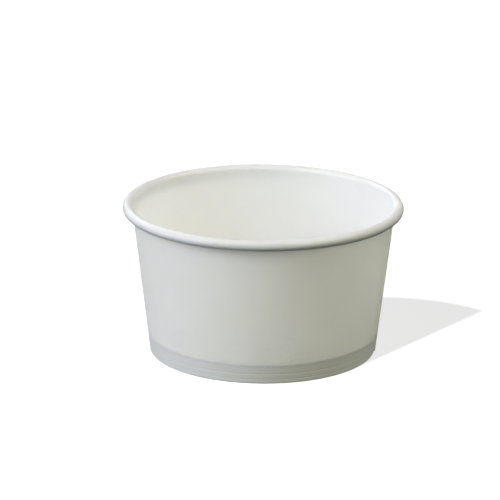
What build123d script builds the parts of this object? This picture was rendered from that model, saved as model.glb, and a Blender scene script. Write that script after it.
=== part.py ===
"""Paper sundae cup: one fan-shaped board blank made into the side wall, and one round blank
made into the base.

The wall blank is wrapped round and sealed along a lap seam. Its top edge is curled outwards
into the rim, and its bottom edge is folded in and up round the skirt of the base, so that
the skirt is held between two plies of the wall.

Frame: the cup stands on the XY plane, with its axis on +Z and its front at -Y.
Every size is in millimetres and every angle in degrees.
"""

from build123d import *
from math import asin, atan2, cos, degrees, hypot, radians, sin, tan
import os

os.makedirs("parts", exist_ok=True)

# Overall sizes
rim_diameter = 92.0  # over the curled rim
foot_diameter = 74.2  # the wall's outer face, carried down to the foot
cup_height = 50.3  # from the foot to the top of the curl

# Boards
wall_board = 0.35
base_board = 0.30
seal_film = 0.02  # the coating that is melted between two sealed plies

# Curled rim
roll_diameter = 3.5
roll_gap = 0.03  # between one turn of the curl and the next
roll_tuck = 110.0  # how far the raw edge is tucked in past the first full turn

# Foot, where the hem and the base are sealed into the wall
fold_inner_radius = 0.05  # inside each corner of the folded hem
base_recess = 6.4  # from the foot up to the underside of the base
hem_gap = 0.5  # from the raw edge of the hem up to the underside of the base
skirt_gap = 0.4  # from the inside of the fold up to the raw edge of the skirt
skirt_bend_radius = 0.3  # inside the bend between the base and its skirt
crimp_heights = (1.5, 3.4)  # the two rings that the sealing tool presses round the foot
crimp_width = 0.7
crimp_depth = 0.07

# Lap seam
seam_lap = 7.0  # width over which the blank's two ends overlap, at mid height
seam_ramp = 6.0  # length over which the outer end climbs over the inner one
seam_start = -7.0  # bearing of the outer raw edge, counter-clockwise from +X

# The curl's centre, and the lean that brings the wall's inner face tangent to it
roll_radius = roll_diameter / 2
roll_centre = (rim_diameter / 2 - roll_radius, cup_height - roll_radius)
foot_radius = foot_diameter / 2
to_roll = (roll_centre[0] - foot_radius, roll_centre[1])
wall_lean = degrees(atan2(*to_roll) - asin((roll_radius - wall_board) / hypot(*to_roll)))

# How deep each face of the three plies at the foot lies behind the wall's outer face
skirt_outside = wall_board + seal_film
skirt_inside = skirt_outside + base_board
hem_outside = skirt_inside + seal_film
hem_inside = hem_outside + wall_board

fold_radius = wall_board + fold_inner_radius
hem_height = base_recess - hem_gap
skirt_height = wall_board + skirt_gap


def wall_radius(depth, z):
    """Radius at height z of the cone that lies depth behind the wall's outer face."""
    return foot_radius + z * tan(radians(wall_lean)) - depth / cos(radians(wall_lean))


def on_wall(depth, z):
    """Point of the section on that cone."""
    return (wall_radius(depth, z), z)


def on_circle(centre, radius, angle):
    """Point at an angle on a circle."""
    return (centre[0] + radius * cos(radians(angle)), centre[1] + radius * sin(radians(angle)))


def seam_corner(depth, z, bearing):
    """Point in plan at height z and at a bearing, on the cone at that depth."""
    return on_circle((0, 0), wall_radius(depth, z), bearing)


# The curl is three arcs. The middle one is centred further out, so that the next lies inside
# the first. Each has its centre, its outside radius, the bearing it starts at and its turn.
inward = 180 - wall_lean
shift = (wall_board + roll_gap) / 2
curl_arcs = (
    (roll_centre, roll_radius, inward, -180),
    (on_circle(roll_centre, -shift, inward), roll_radius - shift, inward - 180, -180),
    (roll_centre, roll_radius - 2 * shift, inward, -roll_tuck),
)

# The seam's place, from its widths at mid height
mid_radius = wall_radius(0, cup_height / 2)
lap_angle = degrees(seam_lap / mid_radius)
ramp_angle = degrees(seam_ramp / mid_radius)
ramp_start = seam_start + lap_angle
seam_bottom = fold_radius
seam_top = roll_centre[1]

# ---- Side wall: hem, fold, cone and curled rim, with the lap seam ----
with BuildPart() as side_wall:
    with BuildSketch(Plane.XZ):
        with BuildLine():
            wall_top_outside = on_circle(roll_centre, roll_radius - wall_board, inward)
            wall_top_inside = on_circle(roll_centre, roll_radius, inward)
            FilletPolyline(
                on_wall(hem_inside, hem_height),
                on_wall(hem_inside, 0),
                on_wall(0, 0),
                wall_top_outside,
                radius=fold_radius,
            )
            FilletPolyline(
                on_wall(hem_outside, hem_height),
                on_wall(hem_outside, wall_board),
                on_wall(wall_board, wall_board),
                wall_top_inside,
                radius=fold_inner_radius,
            )
            for centre, radius, start, turn in curl_arcs:
                CenterArc(centre, radius, start, turn)
                CenterArc(centre, radius - wall_board, start, turn)
            centre, radius, start, turn = curl_arcs[-1]
            Line(
                on_circle(centre, radius, start + turn),
                on_circle(centre, radius - wall_board, start + turn),
            )
            Line(on_wall(hem_inside, hem_height), on_wall(hem_outside, hem_height))
        make_face()
    revolve(axis=Axis.Z)

    # Crimp rings: shallow round-bottomed grooves in the outer face
    crimp_radius = (crimp_width**2 / 4 + crimp_depth**2) / (2 * crimp_depth)
    with BuildSketch(Plane.XZ):
        with Locations(*[on_wall(crimp_depth - crimp_radius, z) for z in crimp_heights]):
            Circle(crimp_radius)
    revolve(axis=Axis.Z, mode=Mode.SUBTRACT)

    # The outer end of the blank, lying over the inner end
    with BuildSketch(Plane.XZ.rotated((0, 0, seam_start))):
        with BuildLine():
            Polyline(
                on_wall(wall_board / 2, seam_bottom),
                on_wall(-wall_board, seam_bottom),
                on_wall(-wall_board, seam_top),
                on_wall(wall_board / 2, seam_top),
                close=True,
            )
        make_face()
    revolve(axis=Axis.Z, revolution_arc=lap_angle)

    # The ramp where the outer end climbs, outside, and the hollow that it leaves inside
    for depth, mode in ((0, Mode.ADD), (wall_board, Mode.SUBTRACT)):
        for z in (seam_bottom, seam_top):
            with BuildSketch(Plane.XY.offset(z)):
                Polygon(
                    seam_corner(depth + wall_board / 2, z, ramp_start),
                    seam_corner(depth - wall_board, z, ramp_start),
                    seam_corner(depth + wall_board / 2, z, ramp_start + ramp_angle),
                    align=None,
                )
        loft(mode=mode)

# ---- Base: a flat disc with its edge turned down into a skirt ----
with BuildPart() as base_disc:
    disc_top = base_recess + base_board
    with BuildSketch(Plane.XZ):
        with BuildLine():
            FilletPolyline(
                (0, disc_top),
                on_wall(skirt_outside, disc_top),
                on_wall(skirt_outside, skirt_height),
                radius=skirt_bend_radius + base_board,
            )
            FilletPolyline(
                (0, base_recess),
                on_wall(skirt_inside, base_recess),
                on_wall(skirt_inside, skirt_height),
                radius=skirt_bend_radius,
            )
            Line(on_wall(skirt_outside, skirt_height), on_wall(skirt_inside, skirt_height))
            Line((0, base_recess), (0, disc_top))
        make_face()
    revolve(axis=Axis.Z)

side_wall.part.label = "side_wall"
base_disc.part.label = "base_disc"
export_step(side_wall.part, "parts/side_wall.step")
export_step(base_disc.part, "parts/base_disc.step")
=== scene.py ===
"""Paper sundae cup: a side wall wound from one blank of coated board, and a recessed base.

The side wall is a sheet with a real thickness. Its section runs from the hem inside the
foot, round the foot's fold, up the wall and round the rim's curl. The sheet is swept once
round the cup and a little further, and its outer end is sealed over its inner end.

Everything is in metres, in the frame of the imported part: the cup stands on the XY plane,
its axis is +Z and its front is at -Y. Bearings are in degrees, counter-clockwise from +X.
"""

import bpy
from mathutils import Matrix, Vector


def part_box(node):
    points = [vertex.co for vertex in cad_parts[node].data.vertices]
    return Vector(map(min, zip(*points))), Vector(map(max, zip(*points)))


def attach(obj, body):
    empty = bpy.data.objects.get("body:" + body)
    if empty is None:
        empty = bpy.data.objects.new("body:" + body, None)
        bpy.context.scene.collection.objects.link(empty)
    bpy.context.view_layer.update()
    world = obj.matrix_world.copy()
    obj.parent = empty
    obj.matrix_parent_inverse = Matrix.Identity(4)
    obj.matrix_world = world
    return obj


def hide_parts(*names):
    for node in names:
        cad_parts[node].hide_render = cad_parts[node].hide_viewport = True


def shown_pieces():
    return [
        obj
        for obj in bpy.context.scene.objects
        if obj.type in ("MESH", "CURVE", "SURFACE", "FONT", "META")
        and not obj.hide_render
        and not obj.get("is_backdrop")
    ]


bl_info = {
    "name": "Paper Sundae Cup",
    "version": (1, 0, 0),
    "blender": (4, 5, 0),
    "location": "View3D > Sidebar > Paper Cup",
    "description": "Builds a paper sundae cup round its packed frame, on a plain light table",
    "category": "Add Mesh",
}

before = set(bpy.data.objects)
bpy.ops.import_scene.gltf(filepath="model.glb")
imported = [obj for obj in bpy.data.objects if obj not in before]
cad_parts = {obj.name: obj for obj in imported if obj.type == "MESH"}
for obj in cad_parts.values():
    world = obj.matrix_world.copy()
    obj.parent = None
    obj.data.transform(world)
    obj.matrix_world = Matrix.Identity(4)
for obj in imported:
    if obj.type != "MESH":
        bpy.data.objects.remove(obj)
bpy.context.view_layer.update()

from math import asin, atan2, cos, hypot, pi, radians, sin, tan

import bpy
import numpy as np
from bpy.props import FloatProperty, FloatVectorProperty, IntProperty, PointerProperty
from mathutils import Euler, Vector

MM = 0.001
CREASE = radians(40)

# How far the board lets light through: a mark on the meshes that the materials read
LIGHT_THROUGH = "light_through"
SEALED_SKIRT, OPEN_DISC = 0.0, 0.4

WALL_LOW, WALL_HIGH = (Vector(corner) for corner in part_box("side_wall"))
BASE_LOW, BASE_HIGH = (Vector(corner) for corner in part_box("base_disc"))


def length(name, description, default, smallest=0.0):
    """A property that holds a length in metres."""
    return FloatProperty(
        name=name, description=description, default=default, min=smallest, precision=5, unit="LENGTH"
    )


def bearing(name, description, default):
    """A property that holds an angle."""
    return FloatProperty(
        name=name, description=description, default=radians(default), precision=4, subtype="ANGLE"
    )


def amount(name, description, default, largest=1.0):
    """A property that holds a plain number from nought."""
    return FloatProperty(name=name, description=description, default=default, min=0.0, max=largest)


def colour(name, description, default):
    """A property that holds a linear colour."""
    return FloatVectorProperty(
        name=name, description=description, default=default, size=3, min=0.0, max=1.0, subtype="COLOR"
    )


class CupSizes(bpy.types.PropertyGroup):
    """Sizes of the cup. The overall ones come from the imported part."""

    rim_diameter: length("Rim diameter", "Across the curled rim", WALL_HIGH.x - WALL_LOW.x)
    cup_height: length("Height", "From the foot to the top of the curl", WALL_HIGH.z - WALL_LOW.z)
    base_recess: length("Base recess", "From the foot up to the top face of the base", BASE_HIGH.z)
    skirt_edge: length("Skirt edge", "From the foot up to the skirt's raw edge", BASE_LOW.z)
    foot_diameter: length("Foot diameter", "The wall's outer face, carried down to the foot", 74.2 * MM)
    wall_board: length("Wall board", "Thickness of the side wall's board", 0.35 * MM)
    base_board: length("Base board", "Thickness of the base's board", 0.30 * MM)
    seal_film: length("Seal film", "Melted coating between two sealed plies", 0.02 * MM)
    hem_gap: length("Hem gap", "From the hem's raw edge up to the underside of the base", 0.5 * MM)
    fold_radius: length("Fold radius", "Inside each corner of the folded foot", 0.05 * MM)
    bend_radius: length("Bend radius", "Inside the bend between base and skirt", 0.3 * MM)
    roll_diameter: length("Roll diameter", "Thickness of the curled rim", 3.5 * MM)
    roll_gap: length("Roll gap", "Between one turn of the curl and the next", 0.03 * MM)
    roll_tuck: bearing("Roll tuck", "Turn of the raw edge past the curl's first full turn", 110)
    crimp_spacing: length("Crimp spacing", "From one crimp ring to the next", 1.9 * MM)
    crimp_height: length("Crimp height", "From the foot up to the first crimp ring", 1.5 * MM)
    crimp_width: length("Crimp width", "Across each crimp ring", 0.7 * MM)
    crimp_depth: length("Crimp depth", "How deep each crimp ring is pressed", 0.03 * MM)
    knurl_depth: length("Knurl depth", "How deep the sealing wheel marks the hem", 0.05 * MM)
    knurl_count: IntProperty(name="Knurl marks", description="Marks round the hem", default=120, min=3)
    seam_lap: length("Seam lap", "How far the wall's two ends overlap", 7.0 * MM)
    seam_ramp: length("Seam ramp", "Length over which the outer end climbs", 6.0 * MM)
    seam_start: bearing("Seam bearing", "Bearing of the outer raw edge", -7)
    out_of_round: length("Out of round", "How far the rim strays from a true circle", 0.12 * MM)
    base_dish: length("Base dish", "How far the middle of the base sags", 0.25 * MM)


class CupFinish(bpy.types.PropertyGroup):
    """Colours and finish of the coated board."""

    outside: colour("Outside", "Colour of the printed face of the board", (0.80, 0.805, 0.80))
    inside: colour("Inside", "Colour of the coated food face", (0.92, 0.92, 0.91))
    cut_edge: colour("Cut edge", "Colour of the board's bare cut edge", (0.84, 0.82, 0.76))
    outside_roughness: amount("Outside roughness", "Roughness of the printed face", 0.52)
    inside_roughness: amount("Inside roughness", "Roughness of the coated food face", 0.38)
    mottle: amount("Mottle", "How much the board's white varies", 0.03)
    fibre_size: length("Fibre size", "Size of the fibre marks under the coating", 0.45 * MM)
    translucency: amount("Translucency", "Share of the light that enters a single ply", 0.8)
    scatter: length("Scatter", "How far light travels inside the board", 1.6 * MM)


class StudioSettings(bpy.types.PropertyGroup):
    """Camera, lights and table."""

    elevation: bearing("Elevation", "How far the camera looks down", 17.26)
    distance: length("Distance", "From the camera to what it looks at", 1.2)
    lens: FloatProperty(name="Lens", description="Focal length", default=262.81, min=1, unit="CAMERA")
    roll: bearing("Roll", "Turn of the camera about its own view", 0.36)
    aim_side: amount("Aim to the side", "Share of the rim's radius, to the left", 0.0918)
    aim_height: amount("Aim height", "Share of the cup's height", 0.6676)
    lamps: FloatProperty(name="Lamps", description="Strength of the soft lamps", default=1.0, min=0)
    lamp_size: length("Lamp size", "Across each soft lamp", 0.6)
    lamp_distance: length("Lamp distance", "From each lamp to the middle of the cup", 1.2)
    sky: FloatProperty(name="Sky", description="Strength of the light all round", default=1.0, min=0)
    sun: FloatProperty(name="Table lamps", description="Strength on the table", default=3.3, min=0)
    sun_size: bearing("Table lamp size", "How wide each table lamp looks", 1.5)
    table_glow: amount("Table glow", "Brightness of the table in shadow", 0.75)


# Soft lamps on the cup: bearing and elevation in degrees, power in watts, tint
WHITE, COOL, WARM, OLIVE = (1.0, 1.0, 1.0), (0.8, 0.9, 1.0), (1.0, 0.8, 0.6), (0.9, 1.0, 0.4)
LAMPS = (
    ("key_lamp", 215, 35, 7.0, COOL),
    ("back_lamp", 0, 60, 4.5, WHITE),
    ("side_lamp", 190, 12, 4.5, WHITE),
    ("top_lamp", 240, 60, 3.0, WARM),
    ("far_lamp", 120, 35, 3.0, COOL),
    ("fill_lamp", 310, 35, 2.5, OLIVE),
)

# Lamps on the table, which is overexposed where either of them reaches
TABLE_LAMPS = (("left_table_lamp", 191, 49), ("front_table_lamp", 237, 27))


# ---- Section of the side wall ----


class Wall:
    """The wall's cone, and where the faces of the plies at the foot lie behind its outer face."""

    def __init__(self, sizes):
        self.sizes = sizes
        self.foot = sizes.foot_diameter / 2
        self.roll = sizes.roll_diameter / 2
        self.centre = np.array((sizes.rim_diameter / 2 - self.roll, sizes.cup_height - self.roll))
        across, up = self.centre[0] - self.foot, self.centre[1]
        self.lean = atan2(across, up) - asin((self.roll - sizes.wall_board) / hypot(across, up))
        self.skirt_outside = sizes.wall_board + sizes.seal_film
        self.skirt_inside = self.skirt_outside + sizes.base_board
        self.hem_inside = self.skirt_inside + sizes.seal_film + sizes.wall_board
        self.hem_height = sizes.base_recess - sizes.base_board - sizes.hem_gap

    def radius(self, depth, height):
        """Radius at a height of the cone that lies at a depth behind the outer face."""
        return self.foot + height * tan(self.lean) - depth / cos(self.lean)

    def point(self, depth, height):
        """Point of the section on that cone."""
        return np.array((self.radius(depth, height), height))


class Path:
    """A line drawn by going forward and turning, with the side to its right kept as its normal."""

    def __init__(self, start, heading):
        self.points, self.normals, self.zones = [np.array(start)], [], []
        self.heading = heading
        self.normals.append(self.right())
        self.zones.append("start")

    def right(self):
        return np.array((sin(self.heading), -cos(self.heading)))

    def step(self, point, zone):
        self.points.append(point)
        self.normals.append(self.right())
        self.zones.append(zone)

    def line(self, stops, zone):
        """Straight on, with a point at each of the distances in stops."""
        start = self.points[-1]
        forward = np.array((cos(self.heading), sin(self.heading)))
        for distance in stops:
            self.step(start + distance * forward, zone)

    def arc(self, radius, turn, steps, zone):
        """Round an arc, to the left for a positive turn and to the right for a negative one."""
        side = 1 if turn > 0 else -1
        centre = self.points[-1] - side * radius * self.right()
        for _ in range(steps):
            self.heading += turn / steps
            self.step(centre + side * radius * self.right(), zone)


def spans(*stretches):
    """Distances along a line, from (end, number of steps) stretches."""
    stops, at = [], 0.0
    for end, steps in stretches:
        stops.extend(np.linspace(at, end, steps + 1)[1:])
        at = end
    return stops


def wall_path(wall, shift):
    """The printed face of the wall in section, from the hem's raw edge to the edge tucked in the curl."""
    sizes = wall.sizes
    fold = sizes.wall_board + sizes.fold_radius
    inner_turn, outer_turn = pi / 2 + wall.lean, pi / 2 - wall.lean
    inner_cut, outer_cut = fold * tan(inner_turn / 2), fold * tan(outer_turn / 2)
    path = Path(wall.point(wall.hem_inside, wall.hem_height), -pi / 2 - wall.lean)
    path.line(spans((wall.hem_height / cos(wall.lean) - inner_cut, 6)), "hem")
    path.arc(fold, inner_turn, 8, "fold")
    flat = wall.hem_inside / cos(wall.lean) - inner_cut - outer_cut
    path.line(spans((flat, 2)), "fold")
    path.arc(fold, outer_turn, 8, "corner")
    inward = pi - wall.lean
    top = wall.centre + (wall.roll - sizes.wall_board) * np.array((cos(inward), sin(inward)))
    wall_length = float(np.linalg.norm(top - path.points[-1]))
    crimped = sizes.crimp_height + sizes.crimp_spacing + sizes.crimp_width
    sealed = sizes.base_recess + sizes.crimp_width
    path.line(spans((crimped, 32), (sealed, 8), (wall_length, 18)), "wall")
    board = sizes.wall_board
    path.arc(wall.roll - board, -pi, 24, "curl")
    path.arc(wall.roll - shift - board, -pi, 24, "curl")
    path.arc(wall.roll - 2 * shift - board, -sizes.roll_tuck, 10, "curl")
    return path


def ease(value):
    """From 0 to 1 with a soft start and end."""
    value = min(max(value, 0.0), 1.0)
    return value * value * (3 - 2 * value)


def crimp(sizes, height):
    """Depth of the crimp rings at a height."""
    depth = 0.0
    for ring in range(2):
        away = abs(height - sizes.crimp_height - ring * sizes.crimp_spacing) / (sizes.crimp_width / 2)
        if away < 1:
            depth = sizes.crimp_depth * (1 + cos(pi * away)) / 2
    return depth


class Seam:
    """The lap seam, by how far along the blank a point is from its inner raw edge, as an angle."""

    def __init__(self, wall):
        sizes = wall.sizes
        middle = wall.radius(0, sizes.cup_height / 2)
        self.lap = sizes.seam_lap / middle
        self.ramp = sizes.seam_ramp / middle
        self.start = sizes.seam_start + self.lap
        self.thickness = sizes.wall_board + sizes.seal_film / 2
        self.single = (sizes.wall_board + sizes.roll_gap) / 2
        self.double = sizes.wall_board + sizes.roll_gap
        self.soft_edge = 1.4 * MM

    def stations(self):
        """Angles along the blank at which its section is drawn: once round, then the lap."""
        whole = 2 * pi
        plain = np.linspace(self.lap + self.ramp, whole - self.ramp, 190)
        return (
            [*np.linspace(0, self.lap, 8)[:-1], *np.linspace(self.lap, self.lap + self.ramp, 10)[:-1],
             *plain[:-1], *np.linspace(whole - self.ramp, whole, 12)],
            list(np.linspace(whole, whole + self.lap, 8)[1:]),
        )

    def climb(self, along):
        """How far the outer end has climbed, from 0 to 1."""
        return ease((along - 2 * pi + self.ramp) / self.ramp)

    def lift(self, along):
        return self.thickness * self.climb(along)

    def shift(self, along):
        """How far the curl's middle arc is moved out, so that it clears one ply or two."""
        doubled = max(self.climb(along), 1 - ease((along - self.lap) / self.ramp))
        return self.single + (self.double - self.single) * doubled

    def light_through(self, wall, height):
        """How far the wall lets light through at a height: not at all where the heel's plies are sealed."""
        return ease(0.5 + (height - wall.hem_height) / self.soft_edge)


def strayed(sizes, point, angle):
    """A point of the section set out at an angle, a little out of round towards the rim."""
    share = max(point[1] / sizes.cup_height, 0) ** 2
    stray = sizes.out_of_round * share * (0.7 * cos(2 * angle + 0.6) + 0.3 * cos(3 * angle + 2.1))
    radius = point[0] + stray
    return (radius * cos(angle), radius * sin(angle), point[1])


def wall_ring(wall, seam, along):
    """Both faces of the wall's section at one place along the blank, as points in space."""
    sizes = wall.sizes
    path = wall_path(wall, seam.shift(along))
    angle = seam.start - along
    corner = [i for i, zone in enumerate(path.zones) if zone == "corner"]
    out_of_wall = np.array((cos(wall.lean), -sin(wall.lean)))
    printed, food = [], []
    for i, (point, normal, zone) in enumerate(zip(path.points, path.normals, path.zones)):
        lifted = np.zeros(2)
        if zone in ("wall", "curl"):
            lifted = seam.lift(along) * normal
        elif zone == "corner":
            lifted = seam.lift(along) * ease((i - corner[0] + 1) / len(corner)) * out_of_wall
        outer = point + lifted
        inner = outer - sizes.wall_board * normal
        if zone == "wall":
            outer = outer - crimp(sizes, point[1]) * normal
        if zone == "hem":
            outer = outer - sizes.knurl_depth * 0.5 * (1 + cos(sizes.knurl_count * angle)) * normal
        printed.append(strayed(sizes, outer, angle))
        food.append(strayed(sizes, inner, angle))
    return printed, food, corner[-1]


def new_piece(name, vertices, faces, materials, face_materials, marks=()):
    """A smooth-shaded mesh object in the scene, with named marks that its materials read."""
    mesh = bpy.data.meshes.new(name)
    mesh.from_pydata(vertices, [], faces)
    for material in materials:
        mesh.materials.append(material)
    mesh.polygons.foreach_set("material_index", face_materials)
    mesh.polygons.foreach_set("use_smooth", [True] * len(faces))
    for mark, values in marks:
        mesh.attributes.new(mark, "FLOAT", "POINT").data.foreach_set("value", values)
    mesh.update()
    piece = bpy.data.objects.new(name, mesh)
    bpy.context.scene.collection.objects.link(piece)
    return piece


def build_wall_mesh(sizes, materials):
    """The wound blank: one sheet swept once round, and its outer end sealed over its inner end."""
    wall = Wall(sizes)
    seam = Seam(wall)
    once_round, lap = seam.stations()
    vertices, faces, slots, through = [], [], [], []
    outside, inside, cut = range(3)
    rings = []
    for along in [*once_round, *lap]:
        printed, food, notch = wall_ring(wall, seam, along)
        count = len(printed)
        rings.append((len(vertices), len(vertices) + count))
        for face in (printed, food):
            vertices.extend(face)
            through.extend(seam.light_through(wall, point[2]) for point in face)
    last = count - 1
    outer_end = len(once_round) - 1
    sealed = len(lap)

    def add(slot, *corners):
        faces.append(corners)
        slots.append(slot)

    def between(slot, line_a, line_b, low, high):
        """Faces between two lines of points, which run up the section from low to high."""
        for i in range(low, high):
            add(slot, line_a + i, line_a + i + 1, line_b + i + 1, line_b + i)

    for ring, ((printed_a, food_a), (printed_b, food_b)) in enumerate(zip(rings, rings[1:])):
        if ring < outer_end:
            between(outside, printed_a, printed_b, 0, notch if ring < sealed else last)
            between(inside, food_b, food_a, 0, last)
            add(cut, food_a, printed_a, printed_b, food_b)
            if ring >= sealed:
                add(cut, printed_a + last, food_a + last, food_b + last, printed_b + last)
        else:
            under_a, under_b = rings[ring - outer_end], rings[ring - outer_end + 1]
            between(outside, printed_a, printed_b, notch, last)
            add(cut, under_a[0] + notch, printed_a + notch, printed_b + notch, under_b[0] + notch)
            add(cut, printed_a + last, under_a[1] + last, under_b[1] + last, printed_b + last)

    first_printed, first_food = rings[0]
    over_printed, over_food = rings[outer_end]
    end_printed, _ = rings[-1]
    under_printed, under_food = rings[sealed]
    between(cut, first_food, first_printed, 0, notch)
    between(cut, over_printed, over_food, 0, notch)
    between(cut, first_food, over_food, notch, last)
    between(cut, end_printed, under_printed, notch, last)
    add(cut, first_food + notch, over_food + notch, over_printed + notch, first_printed + notch)
    add(cut, over_printed + last, over_food + last, first_food + last)
    add(cut, end_printed + last, under_food + last, under_printed + last)

    # The faces sealed inside the lap are left out, and so are the points that only they had
    used = sorted({corner for face in faces for corner in face})
    place = {corner: at for at, corner in enumerate(used)}
    faces = [tuple(place[corner] for corner in face) for face in faces]
    marks = ((LIGHT_THROUGH, [through[corner] for corner in used]),)
    return new_piece("wound_wall", [vertices[i] for i in used], faces, materials, slots, marks)


def base_profile(wall):
    """Food face and underside of the base in section, from the axis to the skirt's raw edge."""
    sizes = wall.sizes
    top = sizes.base_recess
    outer_bend = sizes.bend_radius + sizes.base_board
    turn = pi / 2 + wall.lean
    reach = wall.radius(wall.skirt_outside, top) - outer_bend * tan(turn / 2)
    path = Path((sizes.base_board, top), 0.0)
    path.line(spans((reach * 0.9 - sizes.base_board, 24), (reach - sizes.base_board, 8)), "disc")
    path.arc(outer_bend, -turn, 8, "bend")
    skirt = (path.points[-1][1] - sizes.skirt_edge) / cos(wall.lean)
    path.line(spans((skirt, 6)), "skirt")
    food, under = [], []
    for point, normal, zone in zip(path.points, path.normals, path.zones):
        dish = 0.0
        if zone in ("start", "disc"):
            dish = sizes.base_dish * (1 - ease(point[0] / reach))
        food.append((point[0], point[1] - dish))
        lower = point + sizes.base_board * normal
        under.append((lower[0], lower[1] - dish))
    return food, under


def build_base_mesh(sizes, materials):
    """The base: a disc turned down into a skirt, closed at its raw edge."""
    wall = Wall(sizes)
    food, under = base_profile(wall)
    around = 216
    sealed = wall.radius(wall.skirt_outside, sizes.base_recess) - sizes.bend_radius
    loop = [*food, *reversed(under)]
    vertices, faces, slots = [], [], []
    for radius, height in loop:
        for step in range(around):
            angle = 2 * pi * step / around
            vertices.append((radius * cos(angle), radius * sin(angle), height))
    rings = len(loop)
    through = [OPEN_DISC if radius < sealed else SEALED_SKIRT for radius, _ in loop for _ in range(around)]
    outside, inside, cut = range(3)
    for ring in range(rings - 1):
        slot = inside if ring < len(food) - 1 else cut if ring == len(food) - 1 else outside
        for step in range(around):
            after = (step + 1) % around
            here, there = ring * around, (ring + 1) * around
            faces.append((here + step, there + step, there + after, here + after))
            slots.append(slot)
    faces.append(tuple(range(around)))
    slots.append(inside)
    end = (rings - 1) * around
    faces.append(tuple(end + step for step in reversed(range(around))))
    slots.append(outside)
    return new_piece("pressed_base", vertices, faces, materials, slots, ((LIGHT_THROUGH, through),))


# ---- Materials ----


class Nodes:
    """Adds and joins the nodes of one material or world."""

    def __init__(self, tree):
        self.tree = tree
        tree.nodes.clear()

    def add(self, kind, **settings):
        node = self.tree.nodes.new(kind)
        for name, value in settings.items():
            setattr(node, name, value)
        return node

    def link(self, output, socket):
        self.tree.links.new(output, socket)

    def noise(self, vector, scale, detail, roughness=0.5):
        node = self.add("ShaderNodeTexNoise")
        node.inputs["Scale"].default_value = scale
        node.inputs["Detail"].default_value = detail
        node.inputs["Roughness"].default_value = roughness
        self.link(vector, node.inputs["Vector"])
        return node.outputs["Fac"]

    def spread(self, value, low, high):
        """Maps a noise, which mostly lies from 0.3 to 0.7, to a range."""
        node = self.add("ShaderNodeMapRange")
        for name, number in (("From Min", 0.3), ("From Max", 0.7), ("To Min", low), ("To Max", high)):
            node.inputs[name].default_value = number
        self.link(value, node.inputs["Value"])
        return node.outputs["Result"]

    def math(self, operation, first, second):
        node = self.add("ShaderNodeMath", operation=operation)
        for socket, value in zip(node.inputs, (first, second)):
            if isinstance(value, (int, float)):
                socket.default_value = value
            else:
                self.link(value, socket)
        return node.outputs[0]

    def bump(self, height, distance, strength=1.0, normal=None):
        node = self.add("ShaderNodeBump")
        node.inputs["Strength"].default_value = strength
        node.inputs["Distance"].default_value = distance
        self.link(height, node.inputs["Height"])
        if normal is not None:
            self.link(normal, node.inputs["Normal"])
        return node.outputs["Normal"]


def board_material(name, tint, roughness, finish, coated):
    """White paperboard: cloudy formation, fine fibres under a coating, and light passing through."""
    material = bpy.data.materials.new(name)
    material.use_nodes = True
    nodes = Nodes(material.node_tree)
    output = nodes.add("ShaderNodeOutputMaterial")
    shader = nodes.add("ShaderNodeBsdfPrincipled")
    nodes.link(shader.outputs["BSDF"], output.inputs["Surface"])
    place = nodes.add("ShaderNodeTexCoord").outputs["Object"]

    clouds = nodes.noise(place, 1 / (14 * MM), 3, 0.6)
    grain = nodes.noise(place, 1 / finish.fibre_size, 4, 0.65)
    ramp = nodes.add("ShaderNodeValToRGB")
    dark = [channel * (1 - finish.mottle) for channel in tint]
    ramp.color_ramp.elements[0].position = 0.3
    ramp.color_ramp.elements[0].color = (*dark, 1)
    ramp.color_ramp.elements[1].position = 0.7
    ramp.color_ramp.elements[1].color = (*tint, 1)
    mixed = nodes.math("ADD", nodes.math("MULTIPLY", clouds, 0.6), nodes.math("MULTIPLY", grain, 0.4))
    nodes.link(mixed, ramp.inputs["Fac"])
    nodes.link(ramp.outputs["Color"], shader.inputs["Base Color"])
    nodes.link(nodes.spread(clouds, roughness - 0.04, roughness + 0.05), shader.inputs["Roughness"])

    fibres = nodes.bump(grain, 0.012 * MM if coated else 0.03 * MM)
    ripple = nodes.noise(place, 1 / (2.2 * MM), 2)
    nodes.link(nodes.bump(ripple, 0.01 * MM, normal=fibres), shader.inputs["Normal"])

    shader.inputs["IOR"].default_value = 1.45
    shader.inputs["Sheen Weight"].default_value = 0.0 if coated else 0.1
    through = nodes.add("ShaderNodeAttribute", attribute_name=LIGHT_THROUGH).outputs["Fac"]
    nodes.link(nodes.math("MULTIPLY", through, finish.translucency), shader.inputs["Subsurface Weight"])
    shader.inputs["Subsurface Scale"].default_value = finish.scatter
    shader.inputs["Subsurface Radius"].default_value = (1.0, 0.97, 0.80)
    return material


def board_materials(finish):
    """The board's printed face, its food face and its cut edge."""
    made = []
    for name, tint, roughness, coated in (
        ("outer_board_white", finish.outside, finish.outside_roughness, True),
        ("inner_board_coated", finish.inside, finish.inside_roughness, True),
        ("board_cut_edge", finish.cut_edge, 0.85, False),
    ):
        material = bpy.data.materials.get(name)
        made.append(material or board_material(name, tint, roughness, finish, coated))
    return made


# ---- Studio ----


def add_camera(studio):
    """The camera, looking down at the cup from its front."""
    data = bpy.data.cameras.new("studio_camera")
    data.lens = studio.lens
    data.sensor_width = 36
    camera = bpy.data.objects.new("studio_camera", data)
    size = WALL_HIGH - WALL_LOW
    aim = Vector((-studio.aim_side * size.x / 2, 0, studio.aim_height * size.z))
    away = Vector((0, -cos(studio.elevation), sin(studio.elevation)))
    camera.location = aim + studio.distance * away
    turned = Euler((0, 0, studio.roll)).to_quaternion()
    camera.rotation_euler = ((-away).to_track_quat("-Z", "Y") @ turned).to_euler()
    bpy.context.scene.collection.objects.link(camera)
    bpy.context.scene.camera = camera


def towards(bearing_degrees, elevation_degrees):
    """Unit vector from the cup to a bearing and an elevation."""
    turn, rise = radians(bearing_degrees), radians(elevation_degrees)
    return Vector((cos(turn) * cos(rise), sin(turn) * cos(rise), sin(rise)))


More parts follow.
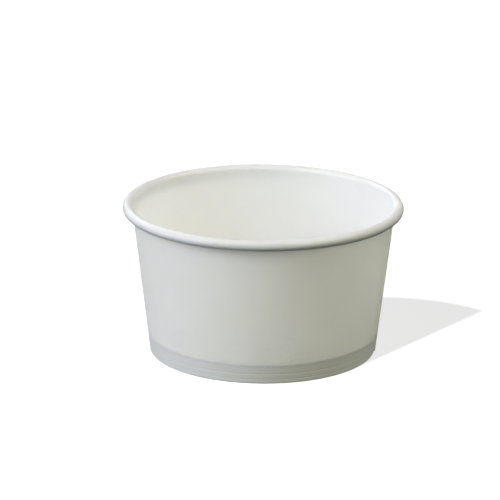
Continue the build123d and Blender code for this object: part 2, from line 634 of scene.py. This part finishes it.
def add_light(name, kind, direction, distance, strength, tint, receivers, **settings):
    """A light that shines at the cup from a direction and falls on some objects only."""
    data = bpy.data.lights.new(name, kind)
    data.energy = strength
    data.color = tint
    for setting, value in settings.items():
        setattr(data, setting, value)
    light = bpy.data.objects.new(name, data)
    centre = (WALL_LOW + WALL_HIGH) / 2
    light.location = centre + distance * direction
    light.rotation_euler = (-direction).to_track_quat("-Z", "Y").to_euler()
    bpy.context.scene.collection.objects.link(light)
    group = bpy.data.collections.new(name + "_receivers")
    for receiver in receivers:
        group.objects.link(receiver)
    light.light_linking.receiver_collection = group


def add_table(studio):
    """A large pale light table that the cup stands on."""
    half = 4.0
    corners = [(-half, -half, 0), (half, -half, 0), (half, half, 0), (-half, half, 0)]
    material = bpy.data.materials.new("light_table")
    material.use_nodes = True
    nodes = Nodes(material.node_tree)
    output = nodes.add("ShaderNodeOutputMaterial")
    shader = nodes.add("ShaderNodeBsdfPrincipled")
    nodes.link(shader.outputs["BSDF"], output.inputs["Surface"])
    place = nodes.add("ShaderNodeTexCoord").outputs["Object"]
    nodes.link(nodes.spread(nodes.noise(place, 40, 2), 0.78, 0.82), shader.inputs["Roughness"])
    shader.inputs["Base Color"].default_value = (0.25, 0.25, 0.25, 1)
    shader.inputs["Specular IOR Level"].default_value = 0.0
    shader.inputs["Emission Color"].default_value = (1, 1, 1, 1)
    shader.inputs["Emission Strength"].default_value = studio.table_glow
    table = new_piece("light_table", corners, [(0, 1, 2, 3)], [material], [0])
    table.visible_diffuse = False
    table.visible_glossy = False
    table.visible_transmission = False
    table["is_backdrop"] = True
    return table


def add_sky(studio):
    """Soft light all round, strongest near the horizon; plain white to the camera."""
    world = bpy.data.worlds.new("soft_sky")
    bpy.context.scene.world = world
    world.use_nodes = True
    nodes = Nodes(world.node_tree)
    output = nodes.add("ShaderNodeOutputWorld")
    direction = nodes.add("ShaderNodeTexCoord").outputs["Generated"]
    parts = nodes.add("ShaderNodeSeparateXYZ")
    nodes.link(direction, parts.inputs[0])
    ramp = nodes.add("ShaderNodeValToRGB")
    stops = ramp.color_ramp.elements
    low, middle, none = (0.45, 0.50, 0.55), (0.44, 0.38, 0.35), (0.0, 0.0, 0.0)
    shades = (
        (0.0, none), (0.495, none), (0.505, low),
        (0.62, low), (0.64, middle), (0.815, middle), (0.83, none),
    )
    for position, _ in shades[2:]:
        stops.new(position)
    for stop, (position, shade) in zip(stops, shades):
        stop.position = position
        stop.color = (*shade, 1)
    height = nodes.math("MULTIPLY", nodes.math("ADD", parts.outputs["Z"], 1.0), 0.5)
    nodes.link(height, ramp.inputs["Fac"])
    soft = nodes.add("ShaderNodeBackground")
    soft.inputs["Strength"].default_value = studio.sky
    nodes.link(ramp.outputs["Color"], soft.inputs["Color"])
    white = nodes.add("ShaderNodeBackground")
    white.inputs["Color"].default_value = (1, 1, 1, 1)
    mix = nodes.add("ShaderNodeMixShader")
    nodes.link(nodes.add("ShaderNodeLightPath").outputs["Is Camera Ray"], mix.inputs[0])
    nodes.link(soft.outputs[0], mix.inputs[1])
    nodes.link(white.outputs[0], mix.inputs[2])
    nodes.link(mix.outputs[0], output.inputs["Surface"])


def add_lamps(studio, cup_pieces, table):
    """Soft lamps for the cup, and small ones that throw its shadow on the table."""
    for name, turn, rise, power, tint in LAMPS:
        add_light(
            name, "AREA", towards(turn, rise), studio.lamp_distance, power * studio.lamps, tint,
            cup_pieces, shape="DISK", size=studio.lamp_size,
        )
    for name, turn, rise in TABLE_LAMPS:
        direction = towards(turn, rise)
        strength = studio.sun / direction.z
        add_light(
            name, "SUN", direction, studio.lamp_distance, strength, WHITE, [table], angle=studio.sun_size
        )


# ---- Operators, panel and registration ----


class CUP_OT_side_wall(bpy.types.Operator):
    """Winds the side wall from one blank of board"""

    bl_idname = "paper_cup.side_wall"
    bl_label = "Wind the side wall"

    def execute(self, context):
        scene = context.scene
        piece = build_wall_mesh(scene.cup_sizes, board_materials(scene.cup_finish))
        piece.data.set_sharp_from_angle(angle=CREASE)
        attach(piece, "root")
        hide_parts("side_wall")
        return {"FINISHED"}


class CUP_OT_base(bpy.types.Operator):
    """Presses the base and its skirt"""

    bl_idname = "paper_cup.base"
    bl_label = "Press the base"

    def execute(self, context):
        scene = context.scene
        piece = build_base_mesh(scene.cup_sizes, board_materials(scene.cup_finish))
        piece.data.set_sharp_from_angle(angle=CREASE)
        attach(piece, "root")
        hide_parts("base_disc")
        return {"FINISHED"}


class CUP_OT_studio(bpy.types.Operator):
    """Sets up the light table, the lights and the camera"""

    bl_idname = "paper_cup.studio"
    bl_label = "Set up the studio"

    def execute(self, context):
        scene = context.scene
        studio = scene.cup_studio
        scene.view_settings.view_transform = "Standard"
        table = add_table(studio)
        add_sky(studio)
        add_camera(studio)
        add_lamps(studio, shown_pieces(), table)
        return {"FINISHED"}


class CUP_PT_panel(bpy.types.Panel):
    """Lists the cup's pieces, its sizes and its finish"""

    bl_label = "Paper Sundae Cup"
    bl_space_type = "VIEW_3D"
    bl_region_type = "UI"
    bl_category = "Paper Cup"

    def draw(self, context):
        column = self.layout.column()
        for operator in OPERATORS:
            column.operator(operator.bl_idname)
        for group in (context.scene.cup_sizes, context.scene.cup_finish, context.scene.cup_studio):
            for name in group.__annotations__:
                column.prop(group, name)


GROUPS = {"cup_sizes": CupSizes, "cup_finish": CupFinish, "cup_studio": StudioSettings}
OPERATORS = (CUP_OT_side_wall, CUP_OT_base, CUP_OT_studio)


def register():
    for group in (*GROUPS.values(), *OPERATORS, CUP_PT_panel):
        bpy.utils.register_class(group)
    for name, group in GROUPS.items():
        setattr(bpy.types.Scene, name, PointerProperty(type=group))


def unregister():
    for name in GROUPS:
        delattr(bpy.types.Scene, name)
    for group in (CUP_PT_panel, *reversed(OPERATORS), *GROUPS.values()):
        bpy.utils.unregister_class(group)


def main():
    register()
    bpy.ops.paper_cup.side_wall()
    bpy.ops.paper_cup.base()
    bpy.ops.paper_cup.studio()


if __name__ == "__main__":
    main()
